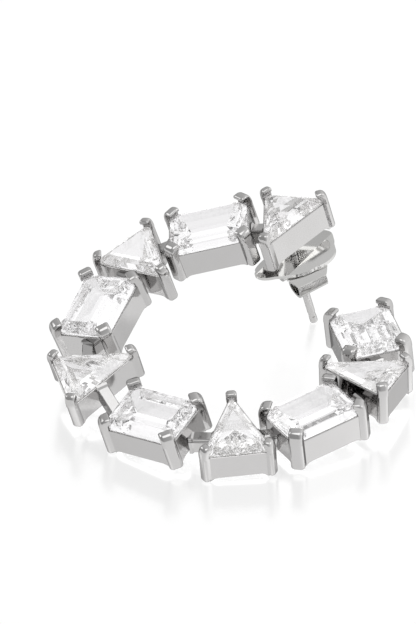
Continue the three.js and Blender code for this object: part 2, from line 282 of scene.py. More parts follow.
tent_seen = add_node(sky, "ShaderNodeMath", {0: tent_light, 1: lifted}, operation="MULTIPLY")
light = add_node(sky, "ShaderNodeMix", {0: in_stone.outputs[0], 2: tent_seen.outputs[0], 3: stone_light})
room = add_node(sky, "ShaderNodeBackground", {"Color": WHITE, "Strength": light.outputs[0]})
add_node(sky, "ShaderNodeOutputWorld", {0: room.outputs[0]})
scene.view_settings.view_transform = "Standard"
scene.cycles.max_bounces = MOST_BOUNCES
scene.cycles.glossy_bounces = METAL_BOUNCES
scene.cycles.transmission_bounces = STONE_BOUNCES
print("soft boxes in the tent:", len(SOFT_BOXES))

# %% [markdown]
# ## Plated metal
# White plate over brass, barrelled smooth: nearly a mirror, with a faint drift in its polish and very
# fine rubbing marks. Seen along its surface, a polished metal would flash white. Soft plate stays
# grey there, so the tint at grazing angles is set low. The outside copy of the plate is set greyer
# than real plate, partly painted shade. The insides behind the stones get a near-white copy of the
# same plate, painted light, which sends more light back up through the stones.


# %% Metal finish
DRIFT_SCALE, MARKS_SCALE, WAVES_SCALE = 260, 2600, 420
SATIN_LEAST, SATIN_MOST = 0.7, 1.3
WAVE_DEPTH, WAVE_STRENGTH = 0.1 * MM, 0.05


def plated_metal(name, light, dark, roughness, grazing):
    """A polished plate: two close greys drifting into each other, fine rubbing marks and soft waves."""
    metal = bpy.data.materials.new(name)
    metal.use_nodes = True
    tree = metal.node_tree
    shader = tree.nodes["Principled BSDF"]
    place = add_node(tree, "ShaderNodeTexCoord").outputs["Object"]
    drift = add_node(tree, "ShaderNodeTexNoise", {"Vector": place, "Scale": DRIFT_SCALE, "Detail": 2})
    shade = add_node(
        tree, "ShaderNodeMix", {0: drift.outputs[0], 6: (*light, 1), 7: (*dark, 1)}, data_type="RGBA"
    )
    marks = add_node(tree, "ShaderNodeTexNoise", {"Vector": place, "Scale": MARKS_SCALE, "Detail": 3})
    satin = add_node(
        tree,
        "ShaderNodeMapRange",
        {"Value": marks.outputs[0], "To Min": roughness * SATIN_LEAST, "To Max": roughness * SATIN_MOST},
    )
    waves = add_node(tree, "ShaderNodeTexNoise", {"Vector": place, "Scale": WAVES_SCALE, "Detail": 1})
    bump = add_node(
        tree,
        "ShaderNodeBump",
        {"Strength": WAVE_STRENGTH, "Distance": WAVE_DEPTH, "Height": waves.outputs[0]},
    )
    tree.links.new(shade.outputs[2], shader.inputs["Base Color"])
    tree.links.new(satin.outputs[0], shader.inputs["Roughness"])
    tree.links.new(bump.outputs[0], shader.inputs["Normal"])
    shader.inputs["Metallic"].default_value = 1
    shader.inputs["Specular Tint"].default_value = (grazing, grazing, grazing, 1)
    return metal


# the outer copy: greyer than real plate, its colour partly painted shade
setting_plate = plated_metal("setting_plate", (0.44, 0.435, 0.435), (0.40, 0.395, 0.39), 0.12, 0.35)
# the inner copy: the same plate made near white, painted light
inside_painted_light = plated_metal("inside_painted_light", (0.95, 0.945, 0.94), (0.90, 0.90, 0.89), 0.12, 0.9)
clutch_plate = plated_metal("clutch_plate", (0.50, 0.495, 0.49), (0.44, 0.44, 0.43), 0.10, 0.45)
print("metal finishes:", setting_plate.name, inside_painted_light.name, clutch_plate.name)

# %% [markdown]
# ## Clear stone
# Cubic zirconia bends light harder than glass and close to diamond, so most of what enters the top is
# thrown back by the sloping facets below. The facets are real here, and the shader only has to be
# clear, with that strong bending and the faintest cloud of tint.


# %% Clear stone finish
STONE_BENDING, CLOUD_SCALE = 2.15, 300
CLEAR_TINT, CLOUD_TINT = (0.985, 0.975, 0.985, 1), (0.965, 0.96, 0.97, 1)


def clear_stone(name):
    """Transparent, strongly refracting and very slightly pink-grey in drifts."""
    stone = bpy.data.materials.new(name)
    stone.use_nodes = True
    tree = stone.node_tree
    shader = tree.nodes["Principled BSDF"]
    place = add_node(tree, "ShaderNodeTexCoord").outputs["Object"]
    cloud = add_node(tree, "ShaderNodeTexNoise", {"Vector": place, "Scale": CLOUD_SCALE, "Detail": 1})
    tint = add_node(
        tree, "ShaderNodeMix", {0: cloud.outputs[0], 6: CLEAR_TINT, 7: CLOUD_TINT}, data_type="RGBA"
    )
    tree.links.new(tint.outputs[2], shader.inputs["Base Color"])
    shader.inputs["Roughness"].default_value = 0.0
    shader.inputs["IOR"].default_value = STONE_BENDING
    shader.inputs["Transmission Weight"].default_value = 1.0
    return stone


zirconia = clear_stone("zirconia")
print("stone finish:", zirconia.name, "bends light by", STONE_BENDING)

# %% [markdown]
# ## Where the settings stand
# The settings' middles follow an oval that drops as it goes round, like a turn of a screw. Each is
# soldered a few degrees off that line, by hand. The whole hoop then lies tilted on two claws and the
# tip of its post. The places are worked out as matrices once, and every piece is made in its own
# setting's frame: x out of the hoop, y on to the next setting, z up past the stone's table.

# %% Places of the settings
HOOP_RADIUS, HOOP_OVAL, DROP_PER_TURN, LEVEL_TURN = 13.8, 0.055, 11.4, 203
LIE_ABOUT_X, LIE_ABOUT_Y, LIE_AT = 6.41, -6.18, (-0.211, 0.359, 6.543)
# cut, place round the hoop, lean, pitch and yaw in degrees, and lift in millimetres
SETTINGS = [
    ("triangle", 68, 1, 2, 2, 0),
    ("emerald", 104, -1, 2, -2, 0),
    ("triangle", 137, 2, 1, 3, 0),
    ("emerald", 168, 6, 1, -1, 0),
    ("triangle", 203, 5, -1, -2, 0),
    ("emerald", 242, 4, 10, -1, 0),
    ("triangle", 280, 3, 2, 5, 0),
    ("emerald", 316, -1, 2, 1, 0),
    ("triangle", 347, 2.5, -6, 2, 0.45),
    ("emerald", 380, 5, 1, -1, 0),
]


def turned(about, angle):
    return Matrix.Rotation(radians(angle), 4, about)


def on_the_hoop(turn):
    """The point of the hoop's line at this turn, in millimetres."""
    angle = radians(turn)
    radius = HOOP_RADIUS * (1 + HOOP_OVAL * cos(2 * angle))
    return Vector((radius * cos(angle), radius * sin(angle), DROP_PER_TURN * (LEVEL_TURN - turn) / 360))


def basis(x, y, z, at):
    """A matrix from three axes and a place."""
    matrix = Matrix((x, y, z)).transposed().to_4x4()
    matrix.translation = at
    return matrix


def place_of(turn, lean, pitch, yaw, lift):
    """A setting's place and bearing on the untilted hoop."""
    along = (on_the_hoop(turn + 0.1) - on_the_hoop(turn - 0.1)).normalized()
    out = along.cross(Vector((0, 0, 1))).normalized()
    up = out.cross(along)
    stand = basis(out, along, up, on_the_hoop(turn) + lift * up)
    return stand @ turned("X", pitch) @ turned("Y", lean) @ turned("Z", yaw)


lying = Matrix.Translation(LIE_AT) @ turned("X", LIE_ABOUT_X) @ turned("Y", LIE_ABOUT_Y)
places = [place_of(*row[1:]) for row in SETTINGS]
to_metres = Matrix.Scale(MM, 4)
print("first setting stands at", [round(v, 2) for v in (lying @ places[0]).translation])

# %% [markdown]
# ## Outlines
# A stone's outline is a handful of straight edges, each a facing and a reach from the middle. Moving
# every edge in or out by the same amount gives the basket's wall, the claws' places and every step of
# the stone, so one helper serves them all.

# %% Outlines of the two cuts
EMERALD_LENGTH, EMERALD_WIDTH, EMERALD_CORNER = 8.5, 6.5, 1.0
TRIANGLE_BASE, TRIANGLE_APEX, TRIANGLE_HALF_BASE, TRIANGLE_CORNER = 3.8, -4.6, 3.65, 0.55


def edges_of(cut):
    """The outline's edges, each as its facing in degrees and its reach in millimetres."""
    if cut == "emerald":
        half_width, half_length = EMERALD_WIDTH / 2, EMERALD_LENGTH / 2
        corner = (half_width + half_length - EMERALD_CORNER) / sqrt(2)
        reaches = [half_width, corner, half_length, corner]
        return [(45 * eighth, reaches[eighth % 4]) for eighth in range(8)]
    half_apex = degrees(atan2(TRIANGLE_HALF_BASE, TRIANGLE_BASE - TRIANGLE_APEX))
    side, corner = 90 + half_apex, (90 + half_apex) / 2
    side_reach = -TRIANGLE_APEX * sin(radians(half_apex))
    to_corner = TRIANGLE_BASE * cos(radians(corner)) + TRIANGLE_HALF_BASE * sin(radians(corner))
    corner_reach = to_corner - TRIANGLE_CORNER
    return [
        (0, TRIANGLE_BASE),
        (corner, corner_reach),
        (side, side_reach),
        (180, -TRIANGLE_APEX - TRIANGLE_CORNER),
        (-side, side_reach),
        (-corner, corner_reach),
    ]


def crossing(first, second):
    """Where the lines of two edges cross."""
    (a, reach_a), (b, reach_b) = first, second
    ax, ay, bx, by = cos(radians(a)), sin(radians(a)), cos(radians(b)), sin(radians(b))
    across = ax * by - ay * bx
    return Vector(((reach_a * by - reach_b * ay) / across, (ax * reach_b - bx * reach_a) / across, 0))


def outline(cut, offset=0.0):
    """The outline's corners with every edge moved out; an edge that would vanish becomes a single corner."""
    edges = [(facing, reach + offset) for facing, reach in edges_of(cut)]
    count = len(edges)
    corners = [crossing(edges[i - 1], edges[i]) for i in range(count)]
    for i, (facing, _) in enumerate(edges):
        start, end = corners[i], corners[(i + 1) % count]
        forward = Vector((-sin(radians(facing)), cos(radians(facing)), 0))
        if (end - start).dot(forward) < 0:
            met = crossing(edges[i - 1], edges[(i + 1) % count])
            corners[i] = met
            corners[(i + 1) % count] = met.copy()
    return corners


print("emerald corners:", len(outline("emerald")), "triangle corners:", len(outline("triangle")))

# %% [markdown]
# ## Making pieces
# Each piece starts as a bmesh in millimetres in its own frame. The helper below moves it to its place
# on the lying hoop, in metres, marks the edges that should stay crisp, and makes the object. The
# object itself stays at the origin, so the surface patterns sit still on it.

# %% Piece helpers
CRISP = radians(14)
TINY = 1e-4


def to_object(bm, name, matrix, *materials):
    """Moves the mesh to its place, in metres, sets its crisp edges and makes the object."""
    bmesh.ops.transform(bm, matrix=to_metres @ matrix, verts=bm.verts)
    for face in bm.faces:
        face.smooth = True
    for edge in bm.edges:
        edge.smooth = len(edge.link_faces) == 2 and edge.calc_face_angle() < CRISP
    mesh = bpy.data.meshes.new(name)
    bm.to_mesh(mesh)
    bm.free()
    for material in materials:
        mesh.materials.append(material)
    piece = bpy.data.objects.new(name, mesh)
    scene.collection.objects.link(piece)
    return piece


def finish_piece(piece, body, slot, *nodes):
    """Rides the piece on its body and hides the solids that it stands for; the name of its finish is not
    used.
    """
    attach(piece, body)
    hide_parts(*nodes)
    return piece


def ring_of(bm, points):
    """A closed loop of edges through the points."""
    corners = [bm.verts.new(point) for point in points]
    return [bm.edges.new((corner, corners[i - 1])) for i, corner in enumerate(corners)]


def close_start(bm, at_start):
    """Closes the first end of a sweep, if growing it has left that end open."""
    rim = [e for e in bm.edges if all(at_start(v) for v in e.verts)]
    if any(len(e.link_faces) < 2 for e in rim):
        bmesh.ops.contextual_create(bm, geom=rim)


def merge(bodies, name):
    """One closed shell of several overlapping ones."""
    objects = []
    for body in bodies:
        mesh = bpy.data.meshes.new(name)
        body.to_mesh(mesh)
        body.free()
        part = bpy.data.objects.new(name, mesh)
        scene.collection.objects.link(part)
        objects.append(part)
    whole = objects[0]
    for part in objects[1:]:
        union = whole.modifiers.new("union", "BOOLEAN")
        union.operation = "UNION"
        union.solver = "EXACT"
        union.object = part
    bpy.context.view_layer.update()
    joined = bpy.data.meshes.new_from_object(whole.evaluated_get(bpy.context.evaluated_depsgraph_get()))
    bm = bmesh.new()
    bm.from_mesh(joined)
    for part in objects:
        mesh = part.data
        bpy.data.objects.remove(part)
        bpy.data.meshes.remove(mesh)
    bpy.data.meshes.remove(joined)
    return bm


# %% [markdown]
# ## Basket walls
# The real basket is cast in wax and plated: a low wall that follows the stone's outline, open below,
# with a narrow ledge and a sloping seat inside for the stone. Its lower edge runs down into the claws
# in small curves. The wall is built as a section bridged round the outline, then its rims are
# bevelled, its long sides cut fine, and the lower edge bent down beside each claw.

# %% Basket wall
FOOT, WALL_BOTTOM, WALL_TOP, SEAT_BOTTOM = -2.25, -1.85, 1.07, 0.6
WALL_OUT, WALL_IN = 0.2, -0.5
RIM = 0.07
CLAW_WIDTH = {"emerald": 1.5, "triangle": 1.15}
CLAW_OUT = {"emerald": 1.0, "triangle": 0.75}
FILLET = 0.6
# an outline's edge shorter than this is a cut corner
SHORT_EDGE = 2
SHARP_RIM, EDGE_CUTS = radians(30), 40


def claw_stands(cut):
    """The middle and facing of each cut corner, where the claws stand."""
    corners = outline(cut)
    count = len(corners)
    pairs = [(corners[i], corners[(i + 1) % count]) for i in range(count)]
    short = [(start, end) for start, end in pairs if (end - start).length < SHORT_EDGE]
    return [((start + end) / 2, atan2(start.x - end.x, end.y - start.y)) for start, end in short]


def wall(cut):
    """The basket's wall with bevelled rims and a lower edge that runs down into the claws."""
    section = [
        (WALL_OUT, WALL_BOTTOM),
        (WALL_OUT, WALL_TOP),
        (0.0, WALL_TOP),
        (WALL_IN, SEAT_BOTTOM),
        (WALL_IN, WALL_BOTTOM),
    ]
    bm = bmesh.new()
    rings = []
    for offset, height in section:
        rings.append(ring_of(bm, [corner + Vector((0, 0, height)) for corner in outline(cut, offset)]))
    for i, ring in enumerate(rings):
        bmesh.ops.bridge_loops(bm, edges=rings[i - 1] + ring)
    bmesh.ops.remove_doubles(bm, verts=bm.verts, dist=TINY)
    bmesh.ops.recalc_face_normals(bm, faces=bm.faces)
    flat = [e for e in bm.edges if abs(e.verts[0].co.z - e.verts[1].co.z) < TINY]
    rims = [e for e in flat if e.calc_face_angle() > SHARP_RIM and e.verts[0].co.z != SEAT_BOTTOM]
    bmesh.ops.bevel(
        bm, geom=rims, offset=RIM, affect="EDGES", segments=2, profile=0.5, material=-1, clamp_overlap=True
    )
    level = [e for e in bm.edges if abs(e.verts[0].co.z - e.verts[1].co.z) < TINY]
    long_edges = [e for e in level if e.calc_length() > SHORT_EDGE]
    bmesh.ops.subdivide_edges(bm, edges=long_edges, cuts=EDGE_CUTS, use_grid_fill=True)
    for vert in bm.verts:
        if vert.co.z > WALL_BOTTOM + 2 * RIM:
            continue
        flat_at = Vector((vert.co.x, vert.co.y, 0))
        beside = min((flat_at - middle).length for middle, _ in claw_stands(cut)) - CLAW_WIDTH[cut] / 2
        share = min(max(1 - beside / FILLET, 0), 1)
        vert.co.z -= (WALL_BOTTOM - FOOT) * (1 - sqrt(1 - share * share))
    return bm


# %% [markdown]
# ## Claws
# A claw is a flat bar soldered into the basket's corner and bent over the stone. Its outer edges are
# rounded and its inner ones nearly sharp. It could be carved from a block, but a bar that bends is
# easier as a sweep: one rounded section, extruded again and again from the foot, over the shoulder
# and on to the stone, and stretched at every stop between a point on its inner side and one on its
# outer side. Drawing the first and last stops in rounds the foot and the tip.

# %% Claw
CLAW_IN_WALL, CLAW_INNER, CLAW_HOOK, CLAW_TIP, CLAW_TOP = -0.3, 0.1, -0.4, 0.4, 2.4
GIRDLE_BOTTOM, GIRDLE_TOP = 1.1, 1.3
FOOT_ROUND, TIP_ROUND = 0.38, 0.25
OUTER_ROUND, INNER_ROUND = 0.4, 0.06
FOOT_STEPS, SHOULDER_STEPS, TIP_STEPS = 6, 12, 5
LEAST = 0.05


def curve(start, control, end, steps=8):
    """Points of a bend from start to end, without the start itself."""
    points = []
    for step in range(1, steps + 1):
        t = step / steps
        points.append(start * (1 - t) ** 2 + control * (2 * t * (1 - t)) + end * t * t)
    return points


def claw_section(bm, width, thickness):
    """A flat rounded face across the claw: x is its thickness, 0 to 1, and y its width, -1/2 to 1/2."""
    bmesh.ops.create_grid(bm, x_segments=1, y_segments=1, size=0.5)
    bmesh.ops.transform(bm, matrix=Matrix.Diagonal((thickness, width, 1, 1)), verts=bm.verts)
    outer = [v for v in bm.verts if v.co.x > 0]
    inner = [v for v in bm.verts if v.co.x < 0]
    for corners, radius, segments in ((outer, OUTER_ROUND, 7), (inner, INNER_ROUND, 2)):
        bmesh.ops.bevel(
            bm, geom=corners, offset=radius, affect="VERTICES", segments=segments, profile=0.5, material=-1
        )
    bmesh.ops.transform(bm, matrix=Matrix.Diagonal((1 / thickness, 1 / width, 1, 1)), verts=bm.verts)
    bmesh.ops.translate(bm, vec=(0.5, 0, 0), verts=bm.verts)
    return next(iter(bm.faces))


def claw_stops(outer):
    """The bar's stops, each as its inner point, its outer point and how much it is drawn in."""

    def point(x, z):
        return Vector((x, 0, z))

    stops = []
    for step in range(FOOT_STEPS + 1):
        angle = pi / 2 * step / FOOT_STEPS
        drawn = FOOT_ROUND * (1 - sin(angle))
        height = FOOT + FOOT_ROUND * (1 - cos(angle))
        stops.append((point(CLAW_IN_WALL, height), point(outer, height), drawn))
    stops.append((point(CLAW_IN_WALL, WALL_TOP - 0.1), point(outer, WALL_TOP - 0.1), 0))
    stops.append((point(CLAW_INNER, WALL_TOP), point(outer, WALL_TOP), 0))
    girdle, crest = point(outer, GIRDLE_BOTTOM), point(CLAW_INNER, CLAW_TOP)
    shoulder = curve(girdle, point(outer, CLAW_TOP), crest, SHOULDER_STEPS)
    under = point(CLAW_INNER, CLAW_TOP - 2 * CLAW_TIP)
    stops.append((point(CLAW_INNER, GIRDLE_BOTTOM), girdle, 0))
    for step, over in enumerate(shoulder, 1):
        stops.append((point(CLAW_INNER, GIRDLE_BOTTOM).lerp(under, step / SHOULDER_STEPS), over, 0))
    for step in range(TIP_STEPS + 1):
        reach = TIP_ROUND * sin(pi / 2 * step / TIP_STEPS)
        along = (CLAW_INNER - CLAW_HOOK - TIP_ROUND + reach) / (CLAW_INNER - CLAW_HOOK)
        inner = under.lerp(point(CLAW_HOOK, CLAW_TOP - CLAW_TIP), along)
        drawn = TIP_ROUND * (1 - cos(pi / 2 * step / TIP_STEPS))
        stops.append((inner, point(CLAW_INNER + (CLAW_HOOK - CLAW_INNER) * along, CLAW_TOP), drawn))
    return stops


def claw(cut, middle, facing):
    """One claw bar, standing at its corner."""
    width = CLAW_WIDTH[cut]
    stops = claw_stops(CLAW_OUT[cut])
    bm = bmesh.new()
    cap = claw_section(bm, width, CLAW_OUT[cut] - CLAW_IN_WALL)
    shape = [(vert.co.x, vert.co.y) for vert in cap.verts]
    for number, (inner, outer, drawn) in enumerate(stops):
        if number > 0:
            grown = bmesh.ops.extrude_discrete_faces(bm, faces=[cap])["faces"]
            cap = grown[0]
        thick = (outer - inner).length
        middle_line = (inner + outer) / 2
        for vert, (depth, side) in zip(cap.verts, shape):
            share = (depth - 0.5) * max(1 - 2 * drawn / thick, LEAST)
            vert.co = middle_line + (outer - inner) * share
            vert.co.y = side * max(width - 2 * drawn, LEAST)
    close_start(bm, lambda vert: vert.co.z < FOOT + TINY)
    bmesh.ops.recalc_face_normals(bm, faces=bm.faces)
    stand = Matrix.Translation(middle) @ Matrix.Rotation(facing, 4, "Z")
    bmesh.ops.transform(bm, matrix=stand, verts=bm.verts)
    return bm


# %% Ten settings
INSIDE = 0.02


def paint_light_inside(basket, cut):
    """Gives the faces behind the stone the second material, the near-white copy of the plate: painted light.
    """
    for face in basket.faces:
        centre = face.calc_center_median()
        beyond = [
            centre.x * cos(radians(facing)) + centre.y * sin(radians(facing)) - reach
            for facing, reach in edges_of(cut)
        ]
        if max(beyond) < -INSIDE and centre.z < WALL_TOP:
            face.material_index = 1


setting_pieces = []
for number, ((cut, *_), place) in enumerate(zip(SETTINGS, places), 1):
    shells = [wall(cut)] + [claw(cut, middle, facing) for middle, facing in claw_stands(cut)]
    basket = merge(shells, "basket")
    paint_light_inside(basket, cut)
    piece = to_object(basket, f"{cut}_setting_{number:02d}", lying @ place, setting_plate, inside_painted_light)
    setting_pieces.append(finish_piece(piece, "hoop", "plated_metal", "hoop_frame"))
print("settings:", len(setting_pieces), "faces each:", [len(p.data.polygons) for p in setting_pieces])

# %% [markdown]
# ## Stones
# A cut stone is convex, so it is the hull of its own steps: the table, the crown's steps, the girdle,
# the steps below it and the keel. Points pushed out a little between the corners break a step into
# smaller facets, all round a triangle and at the corners of an emerald cut. The hull's flat triangles
# are then dissolved into true facets, which stay perfectly flat and crisp, because that is what makes
# a stone glitter.

# %% Cut stones
# inset from the girdle and height of each step, from the keel up
EMERALD_STEPS = [
    (1.7, -0.4),
    (1.2, 0.12),
    (0.8, 0.5),
    (0, GIRDLE_BOTTOM),
    (0, GIRDLE_TOP),
    (0.28, 1.56),
    (0.6, 1.8),
    (1.15, 2.05),
]
TRIANGLE_STEPS = [(0.7, 0.5), (0, GIRDLE_BOTTOM), (0, GIRDLE_TOP), (0.5, 1.68), (1.1, 2.05)]
# the same for points that break the facets up: on all edges of a triangle, on the corners of an emerald cut
TRIANGLE_BREAKS = [(1.6, -0.28), (0.34, 0.6), (0.36, 1.68), (0.8, 1.95)]
EMERALD_BREAKS = [(1.0, 0.15), (0.45, 0.62), (0.42, 1.72)]
EMERALD_KEEL, EMERALD_KEEL_AT, TRIANGLE_KEEL_AT = 1.9, -1.3, -1.2
FLAT, SAME_POINT = radians(0.5), 1e-3
ANY_EDGE = 20


def broken_edges(cut, breaks, shares, longest):
    """Points part of the way along the outline's edges, which break a step into smaller facets."""
    points = []
    for inset, height in breaks:
        corners = outline(cut, -inset)
        for start, end in zip(corners, corners[1:] + corners[:1]):
            if (end - start).length < longest:
                points += [start.lerp(end, share) + Vector((0, 0, height)) for share in shares]
    return points


def stone(cut):
    """The stone as the hull of its steps, with flat facets."""
    bm = bmesh.new()
    if cut == "emerald":
        levels = EMERALD_STEPS
        keel = [Vector((0, EMERALD_KEEL, EMERALD_KEEL_AT)), Vector((0, -EMERALD_KEEL, EMERALD_KEEL_AT))]
        keel += broken_edges(cut, EMERALD_BREAKS, [1 / 2], SHORT_EDGE)
    else:
        levels = TRIANGLE_STEPS
        keel = [Vector((0, 0, TRIANGLE_KEEL_AT))]
        keel += broken_edges(cut, TRIANGLE_BREAKS, [1 / 3, 2 / 3], ANY_EDGE)
    points = keel + [c + Vector((0, 0, height)) for inset, height in levels for c in outline(cut, -inset)]
    for point in points:
        bm.verts.new(point)
    hull = bmesh.ops.convex_hull(bm, input=bm.verts)
    buried = hull["geom_interior"] + hull["geom_unused"]
    left_over = list({part for part in buried if isinstance(part, bmesh.types.BMVert)})
    bmesh.ops.delete(bm, geom=left_over, context="VERTS")
    bmesh.ops.remove_doubles(bm, verts=bm.verts, dist=SAME_POINT)
    bmesh.ops.dissolve_limit(bm, angle_limit=FLAT, verts=bm.verts, edges=bm.edges)
    bmesh.ops.recalc_face_normals(bm, faces=bm.faces)
    return bm


for number, ((cut, *_), place) in enumerate(zip(SETTINGS, places), 1):
    piece = to_object(stone(cut), f"cut_{cut}_stone_{number:02d}", lying @ place, zirconia)
    for polygon in piece.data.polygons:
        polygon.use_smooth = False
    finish_piece(piece, "hoop", "clear_stone", f"{cut}_stone_{number:02d}")
print("facets of a stone:", len(piece.data.polygons))

# %% [markdown]
# ## Links
# Short bars join each wall to the next. A bar has two fine grooves along each side, under its top,
# which catch a light line each, and it widens into a collar of solder where it meets a wall. It is a
# grooved section extruded from wall to wall, a little larger at both ends, and the ends are buried in
# the walls.

# %% Link bars
LINK_WIDTH, LINK_HEIGHT, LINK_BITE = 1.2, 1.9, 0.3
LINK_EDGE = 0.08
GROOVE, GROOVE_TALL, GROOVE_SLOPE, GROOVES_DOWN = 0.11, 0.1, 0.01, (0.42, 0.22)
SOLDER_RUN, SOLDER_WIDER = 0.22, 1.16
# where each bar leaves one wall and enters the next: how far out and how high its middle is, in millimetres
LINKS = [
    (0.1, -0.90, -0.2, -0.65),
    (0.0, -0.55, 0.8, -0.55),
    (0.8, -0.55, 0.0, -0.55),
    (-0.45, -0.50, 0.45, -0.55),
    (0.2, 0.0, 0.5, -0.25),
    (0.2, -1.35, 0.25, -0.40),
    (0.5, -0.50, -0.9, -0.80),
    (0.0, -1.0, 0.8, -1.0),
    (0.8, -0.55, 0.0, -0.55),
]


def link_end(index, side, out, height):
    """Where a link enters a setting's wall, on the side of the next (+1) or the last (-1) setting."""
    facing, reach = edges_of(SETTINGS[index][0])[2]
    reached = (reach + WALL_OUT - LINK_BITE - cos(radians(facing)) * out) / sin(radians(facing))
    return places[index] @ Vector((out, side * reached, height))


def link_section():
    """Half the bar's section from the bottom up, mirrored to both sides."""
    half, low, high = LINK_WIDTH / 2, -LINK_HEIGHT / 2, LINK_HEIGHT / 2
    right = [(half - LINK_EDGE, low), (half, low + LINK_EDGE)]
    for down in GROOVES_DOWN:
        top, bottom = high - down, high - down - GROOVE_TALL
        right += [(half, bottom), (half - GROOVE, bottom + GROOVE_SLOPE)]
        right += [(half - GROOVE, top - GROOVE_SLOPE), (half, top)]
    right += [(half, high - LINK_EDGE), (half - LINK_EDGE, high)]
    left = [(-x, z) for x, z in reversed(right)]
    return [Vector((x, 0, z)) for x, z in right + left]


for index, (start_out, start_height, end_out, end_height) in enumerate(LINKS):
    start = link_end(index, 1, start_out, start_height)
    end = link_end(index + 1, -1, end_out, end_height)
    length = (end - start).length
    along = (end - start).normalized()
    out = along.cross(Vector((0, 0, 1))).normalized()
    bar = bmesh.new()
    cap = bar.faces.new([bar.verts.new(point) for point in link_section()])
    shape = [(vert.co.x, vert.co.z) for vert in cap.verts]
    soldered = LINK_BITE + SOLDER_RUN
    sweep = [(0, SOLDER_WIDER), (LINK_BITE, SOLDER_WIDER), (soldered, 1)]
    sweep += [(length - place, wider) for place, wider in reversed(sweep)]
    for number, (at, wider) in enumerate(sweep):
        if number > 0:
            cap = bmesh.ops.extrude_discrete_faces(bar, faces=[cap])["faces"][0]
        for vert, (x, z) in zip(cap.verts, shape):
            vert.co = Vector((x * wider, at, z * wider))
    close_start(bar, lambda vert: vert.co.y < TINY)
    bmesh.ops.recalc_face_normals(bar, faces=bar.faces)
    place = basis(out, along, out.cross(along), start)
    piece = to_object(bar, f"link_bar_{index + 1:02d}", lying @ place, setting_plate)
    finish_piece(piece, "hoop", "plated_metal", "hoop_frame")
print("links:", len(LINKS))

# %% [markdown]
# ## Back bar and ear post
# A flat bar runs across the first basket below, and the post is soldered to its middle. The post is a
# drawn wire with a rounded tip and a notch that the clutch clicks into, so it is a profile spun about
# its own axis. The bar is the basket's own outline cut off along two lines, so that its ends fit the
# walls.

# %% Back bar
BAR_BOTTOM, BAR_THICK, BAR_INSET = -1.6, 0.5, 0.3
BAR_FROM, BAR_TO = -0.75, 1.35

bm = bmesh.new()
inner_outline = outline("triangle", -BAR_INSET)
bm.faces.new([bm.verts.new(corner + Vector((0, 0, BAR_BOTTOM))) for corner in inner_outline])
for at, outside in ((BAR_FROM, (-1, 0, 0)), (BAR_TO, (1, 0, 0))):
    everything = bm.verts[:] + bm.edges[:] + bm.faces[:]
    bmesh.ops.bisect_plane(bm, geom=everything, plane_co=(at, 0, 0), plane_no=outside, clear_outer=True)
grown = bmesh.ops.extrude_face_region(bm, geom=list(bm.faces))["geom"]
top_verts = [part for part in grown if isinstance(part, bmesh.types.BMVert)]
bmesh.ops.translate(bm, vec=(0, 0, BAR_THICK), verts=top_verts)
bmesh.ops.remove_doubles(bm, verts=bm.verts, dist=TINY)
bmesh.ops.recalc_face_normals(bm, faces=bm.faces)
# the bar's upward faces get the near-white copy of the plate, painted light; the rest stay grey
for face in bm.faces:
    face.material_index = 1 if face.normal.z > 0.5 else 0
back_bar = to_object(bm, "back_bar", lying @ places[0], setting_plate, inside_painted_light)
finish_piece(back_bar, "hoop", "plated_metal", "hoop_frame")

# %% Ear post
POST_X, POST_RADIUS, POST_TIP, POST_NOTCH = 0.3, 0.42, -12.95, 0.385
POST_ROUND, NOTCH_ABOVE, NOTCH_LONG, NOTCH_SLOPE = 0.25, 0.9, 0.4, 0.1
ROUND_SIDES, TIP_CURVE = 40, 6

notch_low = POST_TIP + NOTCH_ABOVE
notch_high = notch_low + NOTCH_LONG
line = [Vector((0, 0, POST_TIP)), Vector((POST_RADIUS - POST_ROUND, 0, POST_TIP))]
tip_corner, tip_side = Vector((POST_RADIUS, 0, POST_TIP)), Vector((POST_RADIUS, 0, POST_TIP + POST_ROUND))
line += curve(line[-1], tip_corner, tip_side, TIP_CURVE)
line += [
    Vector((POST_RADIUS, 0, notch_low - NOTCH_SLOPE)),
    Vector((POST_NOTCH, 0, notch_low)),
    Vector((POST_NOTCH, 0, notch_high)),
    Vector((POST_RADIUS, 0, notch_high + NOTCH_SLOPE)),
    Vector((POST_RADIUS, 0, BAR_BOTTOM + BAR_THICK / 2)),
    Vector((0, 0, BAR_BOTTOM + BAR_THICK / 2)),
]
bm = bmesh.new()
dots = [bm.verts.new(point) for point in line]
lines = [bm.edges.new(pair) for pair in zip(dots, dots[1:])]
bmesh.ops.spin(
    bm, geom=dots + lines, axis=(0, 0, 1), cent=(0, 0, 0), steps=ROUND_SIDES, angle=2 * pi, use_merge=True
)
bmesh.ops.remove_doubles(bm, verts=bm.verts, dist=TINY)
bmesh.ops.recalc_face_normals(bm, faces=bm.faces)
on_post = lying @ places[0] @ Matrix.Translation((POST_X, 0, 0))
ear_post = to_object(bm, "ear_post", on_post, setting_plate)
finish_piece(ear_post, "hoop", "plated_metal", "hoop_frame")
print("post runs", round(BAR_BOTTOM - POST_TIP, 2), "mm below the bar")

# %% [markdown]
# ## Butterfly clutch
# A stamped sheet: an oval plate with a lobed, rolled rim, and two wings that fold down from its long
# sides and curl up into tubes against the post. The plate is a disc drawn out to the lobed oval and
# inset in steps for the rim, and then it is cut along two straight creases and sloped down beyond
# them. Each wing is a strip swept along its bend, and starts a little inside the rim. Both get the
# sheet's thickness, and a boolean joins them into one closed shell.

# %% Clutch plate
CLUTCH_AT, CLUTCH_TURN = -3.7, -38
CLUTCH_LENGTH, CLUTCH_WIDTH, CLUTCH_THICK, CLUTCH_HOLE = 9.8, 6.6, 0.35, 0.49
LOBES, LOBE_DEPTH, LOBE_TURN = 6, 0.07, 13
RIM_STEPS = [(0.06, 0.10), (0.14, 0.0), (0.06, -0.22), (0.14, 0.0), (0.08, 0.12)]
CREASE_TURN, CREASE_AT, CREASE_SLOPE = radians(24), 1.82, 0.5
CREASE_ACROSS = Vector((sin(CREASE_TURN), -cos(CREASE_TURN), 0))
CLUTCH_SIDES = 120


